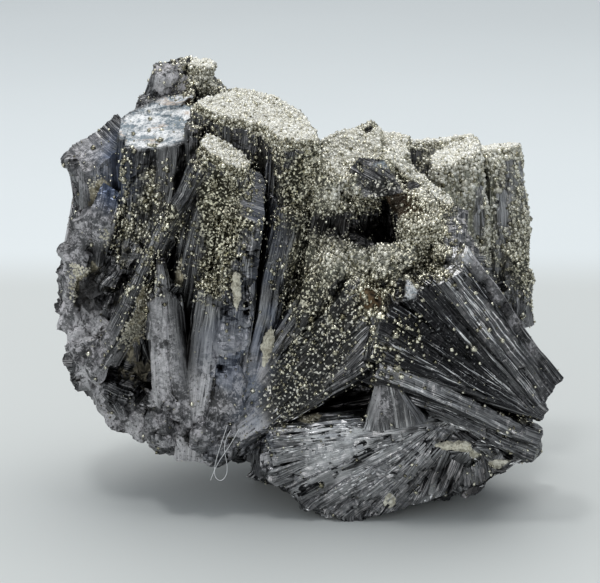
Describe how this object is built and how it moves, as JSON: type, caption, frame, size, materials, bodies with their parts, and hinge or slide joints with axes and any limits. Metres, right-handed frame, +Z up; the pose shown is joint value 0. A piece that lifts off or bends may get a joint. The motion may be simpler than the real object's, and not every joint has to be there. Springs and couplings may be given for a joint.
{
  "type": "mineral specimen, pyrite on enargite",
  "caption": "Loose mineral hand specimen: dark ribbed enargite prisms in radiating sprays, grown together, with pale brassy pyrite crusts on their ends.",
  "frame": {"origin": "on the ground, under the middle of the specimen's bounding box", "axes": "+X along the specimen's longest side, +Z up, -Y towards the side with the two open sprays"},
  "size_m": [0.061, 0.0356, 0.0515],
  "materials": {
    "enargite": "grey-black, submetallic, striated along the crystals; dull and lighter where weathered",
    "pyrite": "pale brassy, metallic, a sparkling druse of very small crystals",
    "pale_mineral": "cream to buff, dull and slightly rough"
  },
  "bodies": {
    "root": {"enargite_crystals": "enargite", "pale_grain_block": "pale_mineral", "pale_grain_patch": "pale_mineral", "pale_grain_sliver": "pale_mineral", "pyrite_crust_back_left": "pyrite", "pyrite_crust_back_middle": "pyrite", "pyrite_crust_back_right": "pyrite", "pyrite_crust_back_slope": "pyrite", "pyrite_crust_back_step": "pyrite", "pyrite_crust_band": "pyrite", "pyrite_crust_column": "pyrite", "pyrite_crust_peak": "pyrite", "pyrite_crust_rear_lower": "pyrite", "pyrite_crust_rear_upper": "pyrite", "pyrite_crust_rim": "pyrite", "pyrite_crust_saddle": "pyrite", "pyrite_crust_step": "pyrite"}
  },
  "joints": []
}
